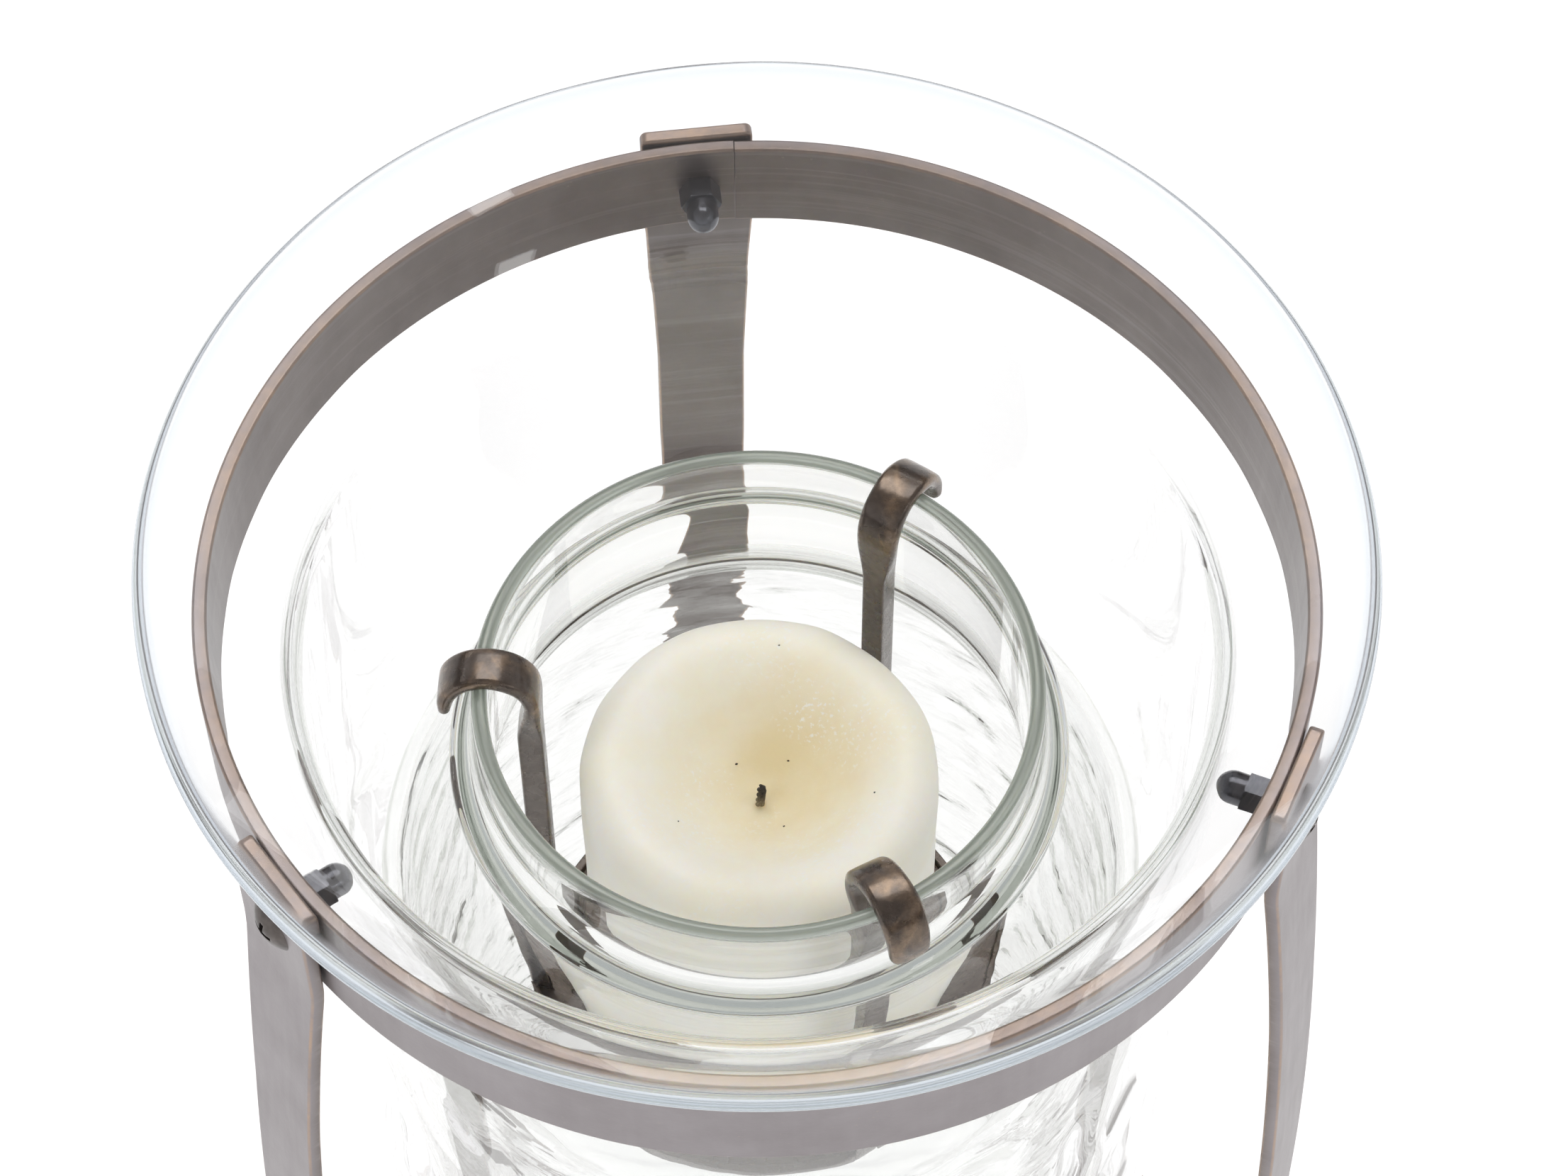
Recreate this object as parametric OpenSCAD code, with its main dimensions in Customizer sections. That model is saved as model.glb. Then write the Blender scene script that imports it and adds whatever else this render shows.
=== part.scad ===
// Hurricane candle lantern: a three-legged strap stand holds a flared hurricane glass.
// In the glass stands a jar, and a forged cradle hooked over the jar's rim carries a pillar candle.
// The origin is on the axis, on the surface that the lantern stands on. +Z is up, in millimetres.

/* [Stand] */
// Height from the floor to the rim of the hurricane glass
lantern_h = 427; // [417:1:442]
// Outer radius of the hoops
hoop_r = 117.5; // [117:0.5:119]
// Height of the hoops
hoop_h = 25; // [20:1:28]
// Thickness of the strap that the hoops and legs are made of
strap_t = 3.2; // [2.5:0.1:3.5]
// Distance from the glass rim down to the top edge of the top hoop
hoop_drop = 16.5; // [16:0.5:17.5]
// Distance from the floor up to the lower edge of the bottom hoop
foot_drop = 1.5; // [1:0.5:10]
// How far the top of a leg stands above the top hoop
leg_rise = 1.5; // [0:0.5:4]
// Width of a leg where it is screwed to a hoop
leg_end_w = 25; // [22:1:28]
// Width of a leg along its bow
leg_mid_w = 21; // [16:1:22]
// How far the middle of a leg bows out
leg_bow = 11.3; // [4:0.1:14]
// Radius of the rounded corners at the ends of a leg
leg_corner_r = 1.6; // [0.5:0.1:3]

/* [Fasteners] */
// Nominal diameter of the screws
screw_d = 5; // [4:0.5:5]
// Diameter of the screw heads
head_d = 12; // [10:0.5:14]
// Height of the domed screw heads
head_h = 2.6; // [2:0.1:3.5]
// Length of the arms of the cross recess in a head
recess_len = 5.4; // [4:0.1:6.5]
// Width across the flats of the acorn nuts
nut_af = 8; // [8:0.5:9]
// Height of the hexagon of an acorn nut
nut_hex_h = 5; // [4:0.5:6]
// Whole height of an acorn nut
nut_h = 11.4; // [10:0.1:11.5]

/* [Hurricane glass] */
// Radius of the rim, over the fire-polished lip
glass_rim_r = 127; // [126:0.5:128]
// Radius of the body just below the flare
glass_neck_r = 99.5; // [98:0.5:99.5]
// Radius of the body near the bottom
glass_foot_r = 96; // [94:0.5:98]
// Height of the underside of the glass above the floor
glass_z = 67; // [57:1:70]
// Thickness of the wall
glass_t = 3.5; // [2.5:0.1:4]
// Thickness of the bottom
glass_base_t = 6; // [4:0.5:8]

/* [Jar] */
// Height of the jar
jar_h = 298.7; // [298:0.1:302]
// Radius of the rim
jar_rim_r = 61.8; // [61:0.1:62.5]
// Radius over the bead of the collar
jar_bead_r = 67.8; // [66:0.1:69]
// Radius of the waist under the collar
jar_waist_r = 62.4; // [61.5:0.1:63]
// Largest radius, at the shoulder
jar_shoulder_r = 86.5; // [84:0.5:88]
// Radius near the bottom
jar_foot_r = 80; // [76:0.5:84]
// Thickness of the wall
jar_t = 3.5; // [2.5:0.1:3.8]

/* [Cradle] */
// Thickness of the square bar of a hanger
bar_t = 5.6; // [4:0.1:5.6]
// Distance from the axis to the inner face of a bar
bar_in_r = 47; // [46.5:0.1:47.5]
// Width of the flattened hook of a hanger
hook_w = 9.6; // [8:0.1:11]
// Thickness of the flattened hook
hook_t = 3.4; // [2.5:0.1:3.5]
// Distance from the axis to the outer face of a hook
hook_out_r = 69; // [68.8:0.1:71]
// How far the tip of a hook reaches down from its top
hook_drop = 15.5; // [12:0.5:16]
// Distance from the jar's rim down to the pan's floor
pan_drop = 131; // [120:1:150]
// Radius of the candle pan
pan_r = 53; // [51:0.5:55]
// Thickness of the candle pan
pan_t = 2; // [1.5:0.1:3]
// Height of the pan's turned-up edge above its floor
pan_lip_h = 2; // [1:0.5:4]
// Length of a hanger's foot under the pan
foot_len = 16; // [12:1:20]

/* [Candle] */
// Diameter of the candle
candle_d = 80; // [70:1:84]
// Height of the candle
candle_h = 100; // [60:1:104]
// Depth of the burned hollow
hollow_depth = 20; // [8:1:25]
// Radius of the candle's soft upper edge
candle_edge_r = 7; // [3:0.5:9]
// Diameter of the wick
wick_d = 2.2; // [1.5:0.1:3]
// Length of wick that shows above the wax
wick_shown = 7; // [4:0.5:9]

/* [Hidden] */

$fn = 96;
eps = 0.01;
// Gap kept between curved faces that rest on each other
rest_gap = 0.3;
// Room round a screw or rivet in its hole
hole_play = 0.2;

LEG_ANGLES = [90, 210, 330];
HANGER_ANGLES = [51, 171, 291];

top_hoop_z = lantern_h - hoop_drop - hoop_h;
bottom_hoop_z = foot_drop;
hoop_in_r = hoop_r - strap_t;
leg_h = top_hoop_z + hoop_h + leg_rise;
top_screw_z = top_hoop_z + hoop_h / 2;
bottom_screw_z = bottom_hoop_z + hoop_h / 2;

// A leg's bow is an arc between two creases, one just under the top hoop and one just over the bottom one
crease_gap = 2;
crease_top_z = top_hoop_z - crease_gap;
crease_low_z = bottom_hoop_z + hoop_h + crease_gap;
bow_half = (crease_top_z - crease_low_z) / 2;
bow_mid_z = (crease_top_z + crease_low_z) / 2;
bow_r = (pow(bow_half, 2) + pow(leg_bow, 2)) / (2 * leg_bow);
bow_centre_r = hoop_r + strap_t + leg_bow - bow_r;
leg_taper_len = 60;

// The jar stands on the bottom of the glass
jar_z = glass_z + glass_base_t + rest_gap;
jar_rim_z = jar_z + jar_h;
jar_base_t = 6;
bead_t = 2;
// How far the fillets beside the bead reach from it
bead_pull = [3.1, 1.8];

// The hooks' arches rest on the round lip of the jar, and the pan hangs below them
hook_arch_r = (hook_out_r - bar_in_r) / 2;
hook_centre_r = bar_in_r + hook_arch_r;
jar_lip = [jar_rim_r - jar_t / 2, jar_rim_z - jar_t / 2];
hook_reach = hook_arch_r - hook_t - jar_t / 2 - rest_gap;
hook_centre_z = jar_lip[1] - sqrt(pow(hook_reach, 2) - pow(jar_lip[0] - hook_centre_r, 2));
hook_top_z = hook_centre_z + hook_arch_r;
pan_floor_z = jar_rim_z - pan_drop;
pan_under_z = pan_floor_z - pan_t;
hook_tip_z = hook_top_z - hook_drop;
neck_z = hook_centre_z - 16;
foot_t = 3;
foot_w = 7;
foot_z = pan_under_z - foot_t;
rivet_d = 4;
rivet_r = bar_in_r - 8;
rivet_head_d = 7;
rivet_head_h = 1.6;

candle_r = candle_d / 2;
wick_base_z = pan_floor_z + candle_h - hollow_depth;
tab_d = 26;
tab_t = 0.6;

function mix(a, b, t) = a + (b - a) * t;

// Points along a cubic Bezier curve from a to d, without its last point
function curve(a, b, c, d, n) =
    [for (i = [0 : n - 1]) let (t = i / n, u = 1 - t)
        u * u * u * a + 3 * u * u * t * b + 3 * u * t * t * c + t * t * t * d];

// Points on an arc about c, from angle a0 to a1, both ends included
function arc(c, r, a0, a1, n) =
    [for (i = [0 : n]) let (a = mix(a0, a1, i / n)) c + r * [cos(a), sin(a)]];

// Unit normal of a path at point i, to the left of its direction
function normal(path, i) =
    let (a = path[max(i - 1, 0)], b = path[min(i + 1, len(path) - 1)], d = b - a)
    [-d[1], d[0]] / norm(d);

// The inner side of a blown glass: its outer path moved in by the base's thickness at the bottom,
// which thins to the wall's over the height of the heel
function inner_path(path, wall, base, heel) =
    [for (i = [0 : len(path) - 1])
        let (up = min((path[i][1] - path[0][1]) / heel, 1))
        let (p = path[i] + mix(base, wall, up) * normal(path, i))
        [max(p[0], 0), p[1]]];

// A blown glass: its outer path from the axis up to the lip, the round lip, and the inner path back down.
// The inner side follows the plain path, which leaves out any bead of the outer one.
module blown(outer, plain, wall, base, heel) {
    inside = inner_path(plain, wall, base, heel);
    last = len(inside) - 1;
    tip = outer[len(outer) - 1];
    lip_c = (tip + inside[last]) / 2;
    lip_d = tip - lip_c;
    lip_a = atan2(lip_d[1], lip_d[0]);
    lip = arc(lip_c, wall / 2, lip_a, lip_a + 180, 8);
    reversed = [for (i = [last : -1 : 0]) inside[i]];
    rotate_extrude($fn = 180)
        polygon(concat(outer, [for (i = [1 : 7]) lip[i]], reversed));
}

// ---------------------------------------------------------------- stand

module hoop(z, screw_z) {
    difference() {
        translate([0, 0, z])
            difference() {
                cylinder(r = hoop_r, h = hoop_h, $fn = 240);
                translate([0, 0, -1])
                    cylinder(r = hoop_in_r, h = hoop_h + 2, $fn = 240);
            }
        screw_holes(screw_z);
    }
}

module screw_holes(z) {
    for (a = LEG_ANGLES)
        rotate([0, 0, a])
            translate([hoop_in_r - 5, 0, z])
                rotate([0, 90, 0])
                    cylinder(d = screw_d + hole_play * 2, h = strap_t * 2 + 12, $fn = 48);
}

// Side view of a leg: radius along x and height along y
module leg_side() {
    translate([hoop_r, 0])
        square([strap_t, crease_low_z]);
    translate([hoop_r, crease_top_z])
        square([strap_t, leg_h - crease_top_z]);
    intersection() {
        translate([bow_centre_r, bow_mid_z])
            difference() {
                circle(r = norm([bow_half, hoop_r + strap_t - bow_centre_r]), $fn = 720);
                circle(r = norm([bow_half, hoop_r - bow_centre_r]), $fn = 720);
            }
        translate([hoop_r - 1, crease_low_z])
            square([leg_bow + strap_t + 2, bow_half * 2]);
    }
}

// Front view of a leg: it is wide at the hoops, and narrower along the bow
module leg_front() {
    e = leg_end_w / 2;
    m = leg_mid_w / 2;
    c = leg_corner_r;
    low = crease_low_z;
    high = crease_top_z;
    polygon(concat(
        arc([e - c, c], c, -90, 0, 6),
        [[e, low], [m, low + leg_taper_len], [m, high - leg_taper_len], [e, high]],
        arc([e - c, leg_h - c], c, 0, 90, 6),
        arc([c - e, leg_h - c], c, 90, 180, 6),
        [[-e, high], [-m, high - leg_taper_len], [-m, low + leg_taper_len], [-e, low]],
        arc([c - e, c], c, 180, 270, 6)));
}

module leg(angle) {
    color([0.30, 0.26, 0.25])
    difference() {
        rotate([0, 0, angle])
            intersection() {
                rotate([90, 0, 0])
                    linear_extrude(leg_end_w + 2, center = true)
                        leg_side();
                translate([hoop_r - 10, 0, 0])
                    rotate([90, 0, 90])
                        linear_extrude(leg_bow + 30)
                            leg_front();
            }
        screw_holes(top_screw_z);
        screw_holes(bottom_screw_z);
    }
}

// A truss-head screw along +X, with the underside of its head at x = 0 and a cross recess in its dome
module screw() {
    shank_len = strap_t * 2 + nut_hex_h;
    dome_r = (pow(head_d / 2, 2) + pow(head_h, 2)) / (2 * head_h);
    recess_w = 1.2;
    recess_depth = 1.3;
    rotate([0, 90, 0]) {
        difference() {
            intersection() {
                translate([0, 0, head_h - dome_r])
                    sphere(r = dome_r, $fn = 96);
                cylinder(d = head_d, h = head_h, $fn = 96);
            }
            for (size = [[recess_len, recess_w], [recess_w, recess_len]])
                translate([-size[0] / 2, -size[1] / 2, head_h - recess_depth])
                    cube([size[0], size[1], head_h]);
        }
        translate([0, 0, -shank_len])
            cylinder(d = screw_d, h = shank_len + eps, $fn = 48);
    }
}

// An acorn nut along -X, with its seat at x = 0 and a blind hole for the screw
module acorn_nut() {
    dome_r = nut_af / 2 - 0.45;
    cone_h = nut_af + nut_hex_h + 0.6;
    rotate([0, -90, 0])
        difference() {
            union() {
                intersection() {
                    rotate([0, 0, 30])
                        cylinder(r = nut_af / 2 / cos(30), h = nut_hex_h, $fn = 6);
                    // the cone that rounds off the corners of the hexagon
                    translate([0, 0, -nut_af])
                        cylinder(r1 = nut_af * 1.6, r2 = nut_af / 2, h = cone_h, $fn = 96);
                }
                cylinder(r = dome_r, h = nut_h - dome_r, $fn = 64);
                translate([0, 0, nut_h - dome_r])
                    sphere(r = dome_r, $fn = 64);
            }
            translate([0, 0, -1])
                cylinder(d = screw_d + hole_play, h = nut_hex_h + 3, $fn = 48);
        }
}

module screws(z) {
    color([0.20, 0.18, 0.18])
    for (a = LEG_ANGLES)
        rotate([0, 0, a])
            translate([hoop_r + strap_t, 0, z])
                screw();
}

module acorn_nuts(z) {
    color([0.27, 0.27, 0.29])
    for (a = LEG_ANGLES)
        rotate([0, 0, a])
            translate([hoop_in_r - 0.12, 0, z])
                acorn_nut();
}

module top_hoop() {
    color([0.36, 0.32, 0.31])
    hoop(top_hoop_z, top_screw_z);
}

module bottom_hoop() {
    color([0.36, 0.32, 0.31])
    hoop(bottom_hoop_z, bottom_screw_z);
}

// ---------------------------------------------------------------- glasses

// Outer side of the hurricane glass, from the axis up to the lip
module hurricane_glass() {
    lip_z = lantern_h - glass_t / 2;
    heel = 16;
    flare_z = lantern_h - 38;
    seat = [hoop_in_r - rest_gap, lantern_h - hoop_drop + rest_gap];
    seat_pull = [9.5, 8.9];
    lip_out = [glass_rim_r - glass_t * 0.15, lip_z - glass_t * 0.35];
    path = concat(
        [[0, glass_z], [glass_foot_r * 0.5, glass_z], [glass_foot_r - heel, glass_z]],
        arc([glass_foot_r - heel, glass_z + heel], heel, -75, -15, 4),
        curve([glass_foot_r, glass_z + heel], [glass_foot_r + 1.5, glass_z + 90],
              [glass_neck_r, flare_z - 90], [glass_neck_r, flare_z], 12),
        // the flare turns out over the acorn nuts, clear of them, to the hoop's edge
        curve([glass_neck_r, flare_z], [glass_neck_r, flare_z + 11], seat - seat_pull, seat, 10),
        curve(seat, mix(seat, lip_out, 0.33), mix(seat, lip_out, 0.66), lip_out, 4),
        [lip_out]);
    color([0.85, 0.93, 0.95, 0.35])
    blown(path, path, glass_t, glass_base_t, heel);
}

// Outer side of the jar: foot, body, shoulder, waist, narrow bead round the neck, and rim
module candle_jar() {
    heel = 12;
    bead_z = jar_rim_z - 24;
    waist_z = jar_rim_z - 40;
    shoulder_z = jar_rim_z - 74;
    bead = arc([jar_bead_r - bead_t, bead_z], bead_t, -60, 60, 8);
    body = concat(
        [[0, jar_z], [jar_foot_r * 0.5, jar_z], [jar_foot_r - heel, jar_z]],
        arc([jar_foot_r - heel, jar_z + heel], heel, -75, -15, 4),
        curve([jar_foot_r, jar_z + heel], [jar_foot_r + 0.5, jar_z + 70],
              [jar_shoulder_r, shoulder_z - 70], [jar_shoulder_r, shoulder_z], 12),
        curve([jar_shoulder_r, shoulder_z], [jar_shoulder_r, shoulder_z + 19],
              [jar_waist_r, waist_z - 17], [jar_waist_r, waist_z], 10));
    neck = [[jar_rim_r, jar_rim_z - jar_t / 2]];
    beaded = concat(
        curve([jar_waist_r, waist_z], [jar_waist_r, waist_z + 9], bead[0] - bead_pull, bead[0], 6),
        bead,
        curve(bead[8], bead[8] + [-bead_pull[0], bead_pull[1]],
              [jar_rim_r + 0.7, bead_z + 7], [jar_rim_r + 0.5, bead_z + 12], 6));
    color([0.86, 0.92, 0.88, 0.35])
    blown(concat(body, beaded, neck), concat(body, [[jar_waist_r, waist_z]], neck), jar_t, jar_base_t, heel);
}

// ---------------------------------------------------------------- cradle

// Side view of a hanger: radius along x and height along y
module hanger_side() {
    translate([hook_centre_r, hook_centre_z])
        difference() {
            circle(r = hook_arch_r, $fn = 128);
            circle(r = hook_arch_r - hook_t, $fn = 128);
            translate([-hook_arch_r - 1, -2 * hook_arch_r])
                square([2 * hook_arch_r + 2, 2 * hook_arch_r]);
        }
    translate([hook_out_r - hook_t, hook_tip_z])
        square([hook_t, hook_centre_z - hook_tip_z]);
    polygon([[bar_in_r, foot_z], [bar_in_r + bar_t, foot_z], [bar_in_r + bar_t, neck_z],
             [bar_in_r + hook_t, hook_centre_z], [bar_in_r, hook_centre_z]]);
}

// Front view of the inner half: the bar, and the neck where it spreads into the hook
module bar_front() {
    b = bar_t / 2;
    w = hook_w / 2;
    polygon([[-b, foot_z - 1], [b, foot_z - 1], [b, neck_z], [w, hook_centre_z], [w, hook_top_z + 1],
             [-w, hook_top_z + 1], [-w, hook_centre_z], [-b, neck_z]]);
}

// Front view of the outer half: the flattened hook with its round tip
module tip_front() {
    translate([0, hook_tip_z + hook_w / 2])
        circle(d = hook_w, $fn = 64);
    translate([-hook_w / 2, hook_tip_z + hook_w / 2])
        square([hook_w, hook_drop]);
}

// The half of a hanger between two radii, cut to its front view
module hanger_half(r_low, r_high) {
    intersection() {
        rotate([90, 0, 0])
            linear_extrude(hook_w + 2, center = true)
                hanger_side();
        translate([r_low, 0, 0])
            rotate([90, 0, 90])
                linear_extrude(r_high - r_low)
                    children();
    }
}

module hanger(angle) {
    color([0.24, 0.20, 0.18])
    rotate([0, 0, angle])
    difference() {
        union() {
            hanger_half(bar_in_r - 1, hook_centre_r)
                bar_front();
            hanger_half(hook_centre_r, hook_out_r + 1)
                tip_front();
            // the foot under the pan
            translate([bar_in_r + bar_t - foot_len, -foot_w / 2, foot_z])
                cube([foot_len - bar_t / 2, foot_w, foot_t]);
        }
        translate([rivet_r, 0, foot_z - 1])
            cylinder(d = rivet_d + hole_play, h = foot_t + 2, $fn = 48);
    }
}

// A shallow dish with a notch for each hanger's bar and a hole for each rivet
module candle_pan() {
    color([0.22, 0.20, 0.19])
    difference() {
        union() {
            translate([0, 0, pan_under_z])
                cylinder(r = pan_r, h = pan_t, $fn = 180);
            translate([0, 0, pan_under_z])
                difference() {
                    cylinder(r = pan_r, h = pan_t + pan_lip_h, $fn = 180);
                    translate([0, 0, pan_t])
                        cylinder(r = pan_r - pan_t, h = pan_lip_h + 1, $fn = 180);
                }
        }
        for (a = HANGER_ANGLES)
            rotate([0, 0, a]) {
                translate([bar_in_r - hole_play, -bar_t / 2 - hole_play, pan_under_z - 1])
                    cube([pan_r, bar_t + 2 * hole_play, pan_t + pan_lip_h + 2]);
                translate([rivet_r, 0, pan_under_z - 1])
                    cylinder(d = rivet_d + hole_play, h = pan_t + 2, $fn = 48);
            }
    }
}

// Rivets through the hangers' feet, flush with the pan's floor so that the candle stands flat
module pan_rivets() {
    dome_r = (pow(rivet_head_d / 2, 2) + pow(rivet_head_h, 2)) / (2 * rivet_head_h);
    color([0.25, 0.23, 0.22])
    for (a = HANGER_ANGLES)
        rotate([0, 0, a])
            translate([rivet_r, 0, 0]) {
                translate([0, 0, foot_z - eps])
                    cylinder(d = rivet_d, h = pan_floor_z - foot_z, $fn = 48);
                intersection() {
                    translate([0, 0, foot_z - rivet_head_h + dome_r])
                        sphere(r = dome_r, $fn = 64);
                    translate([0, 0, foot_z - rivet_head_h])
                        cylinder(d = rivet_head_d, h = rivet_head_h, $fn = 64);
                }
            }
}

// ---------------------------------------------------------------- candle

// Half section of the wax: straight side, soft upper edge, and the burned hollow round the wick
module wax_section() {
    top_z = pan_floor_z + candle_h;
    edge = candle_edge_r;
    hollow_r = candle_r - edge;
    polygon(concat(
        [[0, pan_floor_z], [candle_r - 1, pan_floor_z], [candle_r, pan_floor_z + 1]],
        arc([candle_r - edge, top_z - edge], edge, 0, 90, 8),
        curve([hollow_r - eps, top_z], [hollow_r * 0.75, top_z],
              [hollow_r * 0.45, wick_base_z + 1.5], [0, wick_base_z], 12),
        [[0, wick_base_z]]));
}

module candle_wax() {
    color([0.95, 0.92, 0.83])
    difference() {
        rotate_extrude($fn = 120)
            wax_section();
        // channel for the wick
        translate([0, 0, pan_floor_z - 1])
            cylinder(d = wick_d + hole_play, h = candle_h + 2, $fn = 32);
        // recess for the wick tab
        translate([0, 0, pan_floor_z - 1])
            cylinder(d = tab_d + 2 * hole_play, h = tab_t + hole_play + 1, $fn = 64);
    }
}

module wick() {
    color([0.25, 0.23, 0.19])
    translate([0, 0, pan_floor_z + tab_t])
        cylinder(d = wick_d, h = wick_base_z + wick_shown - pan_floor_z - tab_t, $fn = 32);
}

module wick_tab() {
    color([0.75, 0.76, 0.78])
    translate([0, 0, pan_floor_z])
        cylinder(d = tab_d, h = tab_t, $fn = 64);
}

top_hoop();
bottom_hoop();
leg(LEG_ANGLES[0]);  // leg_back
leg(LEG_ANGLES[1]);  // leg_left
leg(LEG_ANGLES[2]);  // leg_right
screws(top_screw_z);  // top_screws
acorn_nuts(top_screw_z);  // top_acorn_nuts
screws(bottom_screw_z);  // bottom_screws
acorn_nuts(bottom_screw_z);  // bottom_acorn_nuts
hurricane_glass();
candle_jar();
hanger(HANGER_ANGLES[0]);  // hanger_back
hanger(HANGER_ANGLES[1]);  // hanger_left
hanger(HANGER_ANGLES[2]);  // hanger_front
candle_pan();
pan_rivets();
candle_wax();
wick();
wick_tab();
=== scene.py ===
import math

import bmesh
import bpy
from mathutils import Matrix, Vector, noise
from mathutils.bvhtree import BVHTree


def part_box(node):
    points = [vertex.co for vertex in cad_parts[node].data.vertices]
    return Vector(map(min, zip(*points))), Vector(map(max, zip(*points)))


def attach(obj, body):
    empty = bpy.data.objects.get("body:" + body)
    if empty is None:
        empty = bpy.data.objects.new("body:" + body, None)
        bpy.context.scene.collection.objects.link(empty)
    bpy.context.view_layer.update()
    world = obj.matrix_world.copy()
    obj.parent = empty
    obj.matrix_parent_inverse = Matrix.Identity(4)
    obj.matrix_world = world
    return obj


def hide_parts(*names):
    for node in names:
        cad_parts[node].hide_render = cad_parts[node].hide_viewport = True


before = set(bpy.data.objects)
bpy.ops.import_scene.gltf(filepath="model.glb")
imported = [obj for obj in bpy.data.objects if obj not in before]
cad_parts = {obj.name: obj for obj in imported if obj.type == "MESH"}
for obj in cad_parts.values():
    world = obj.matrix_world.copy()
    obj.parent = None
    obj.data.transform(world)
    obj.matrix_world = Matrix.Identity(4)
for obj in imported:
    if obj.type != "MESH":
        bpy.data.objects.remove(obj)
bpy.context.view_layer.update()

# Hurricane candle lantern: the looks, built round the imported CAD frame. Lengths here are in millimetres,
# and every mesh is scaled to metres as it is made.
MM = 0.001


def node_box(node):
    """Lowest and highest corner of a CAD node, in millimetres."""
    low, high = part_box(node)
    return low / MM, high / MM


# ------------------------------------------------------------------ sizes read from the frame

GLASS_LOW, GLASS_HIGH = node_box("hurricane_glass")
JAR_LOW, JAR_HIGH = node_box("candle_jar")
HOOP_LOW, HOOP_HIGH = node_box("top_hoop")
BASE_LOW, BASE_HIGH = node_box("bottom_hoop")
LEG_LOW, LEG_HIGH = node_box("leg_back")
HANGER_LOW, HANGER_HIGH = node_box("hanger_back")
WAX_LOW, WAX_HIGH = node_box("candle_wax")
WICK_LOW, WICK_HIGH = node_box("wick")

RIM_Z = GLASS_HIGH.z
RIM_R = GLASS_HIGH.x
HOOP_R = HOOP_HIGH.x
STRAP_T = 3.2
HOOP_IN_R = HOOP_R - STRAP_T
LEG_ANGLES = (90.0, 210.0, 330.0)
HANGER_ANGLES = (51.0, 171.0, 291.0)


# ------------------------------------------------------------------ small maths helpers

def mix(a, b, t):
    return a + (b - a) * t


def mix_point(a, b, t):
    return tuple(mix(p, q, t) for p, q in zip(a, b))


def clamp(x):
    return max(0.0, min(1.0, x))


def smooth(x, low, high):
    """Smooth step of x between low and high."""
    t = clamp((x - low) / (high - low))
    return t * t * (3 - 2 * t)


def bezier(a, b, c, d, count):
    """Points along a cubic curve from a to d, without its last point."""
    points = []
    for i in range(count):
        t = i / count
        u = 1 - t
        weights = (u ** 3, 3 * u * u * t, 3 * u * t * t, t ** 3)
        points.append(tuple(sum(w * p[k] for w, p in zip(weights, (a, b, c, d))) for k in (0, 1)))
    return points


def arc(centre, radius, start, end, count):
    """Points on an arc, both ends included, angles in degrees."""
    points = []
    for i in range(count + 1):
        angle = math.radians(mix(start, end, i / count))
        points.append((centre[0] + radius * math.cos(angle), centre[1] + radius * math.sin(angle)))
    return points


def resample(path, step):
    """The same path with points about step apart."""
    lengths = [0.0]
    for p, q in zip(path, path[1:]):
        lengths.append(lengths[-1] + math.dist(p, q))
    count = max(2, round(lengths[-1] / step))
    points, k = [], 0
    for i in range(count + 1):
        at = lengths[-1] * i / count
        while k < len(path) - 2 and lengths[k + 1] < at:
            k += 1
        share = (at - lengths[k]) / max(lengths[k + 1] - lengths[k], 1e-9)
        points.append(tuple(mix(a, b, clamp(share)) for a, b in zip(path[k], path[k + 1])))
    return points


def normals_of(path):
    """Unit normals to the left of a path."""
    found = []
    for i in range(len(path)):
        a, b = path[max(i - 1, 0)], path[min(i + 1, len(path) - 1)]
        dx, dz = b[0] - a[0], b[1] - a[1]
        size = math.hypot(dx, dz) or 1.0
        found.append((-dz / size, dx / size))
    return found


def turned(r, side, z, angle):
    """The point at radius r, side millimetres round to the left and height z, on the ray at angle."""
    c, s = math.cos(math.radians(angle)), math.sin(math.radians(angle))
    return (r * c - side * s, r * s + side * c, z)


# ------------------------------------------------------------------ mesh helpers

def make_object(name, points, faces, marks):
    """A smooth-shaded mesh object in metres. marks maps an attribute's name to one value per point."""
    mesh = bpy.data.meshes.new(name)
    mesh.from_pydata([(x * MM, y * MM, z * MM) for x, y, z in points], [], faces)
    mesh.validate()
    mesh.polygons.foreach_set("use_smooth", [True] * len(mesh.polygons))
    for key, values in marks.items():
        mesh.attributes.new(key, "FLOAT", "POINT").data.foreach_set("value", values)
    mesh.update()
    obj = bpy.data.objects.new(name, mesh)
    bpy.context.scene.collection.objects.link(obj)
    return obj


def tube_faces(rings, around):
    """Quads between rings of points, each ring closed on itself."""
    faces = []
    for i in range(rings - 1):
        a, b = i * around, (i + 1) * around
        for k in range(around):
            n = (k + 1) % around
            faces.append((a + k, a + n, b + n, b + k))
    return faces


def capped_tube(rings, around):
    """Quads between rings of points, with one face over each end."""
    last = (rings - 1) * around
    caps = [tuple(range(around))[::-1], tuple(range(last, last + around))]
    return tube_faces(rings, around) + caps


def lathe(name, profile, around, shape, marks):
    """Turns a profile of (radius, height) round the axis. Its first and last points are on the axis.
    shape(radius, height, angle, row) returns the (radius, height) wanted there, and each mark is a
    function of a point."""
    points = [(0.0, 0.0, profile[0][1])]
    rows = profile[1:-1]
    for row, (radius, height) in enumerate(rows):
        for k in range(around):
            angle = 2 * math.pi * k / around
            r, z = shape(radius, height, angle, row)
            points.append((r * math.cos(angle), r * math.sin(angle), z))
    points.append((0.0, 0.0, profile[-1][1]))
    last = len(points) - 1
    faces = [(a + 1, b + 1, c + 1, d + 1) for a, b, c, d in tube_faces(len(rows), around)]
    for k in range(around):
        n = (k + 1) % around
        faces.append((0, 1 + n, 1 + k))
        base = 1 + (len(rows) - 1) * around
        faces.append((last, base + k, base + n))
    values = {key: [f(p) for p in points] for key, f in marks.items()}
    return make_object(name, points, faces, values)


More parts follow.
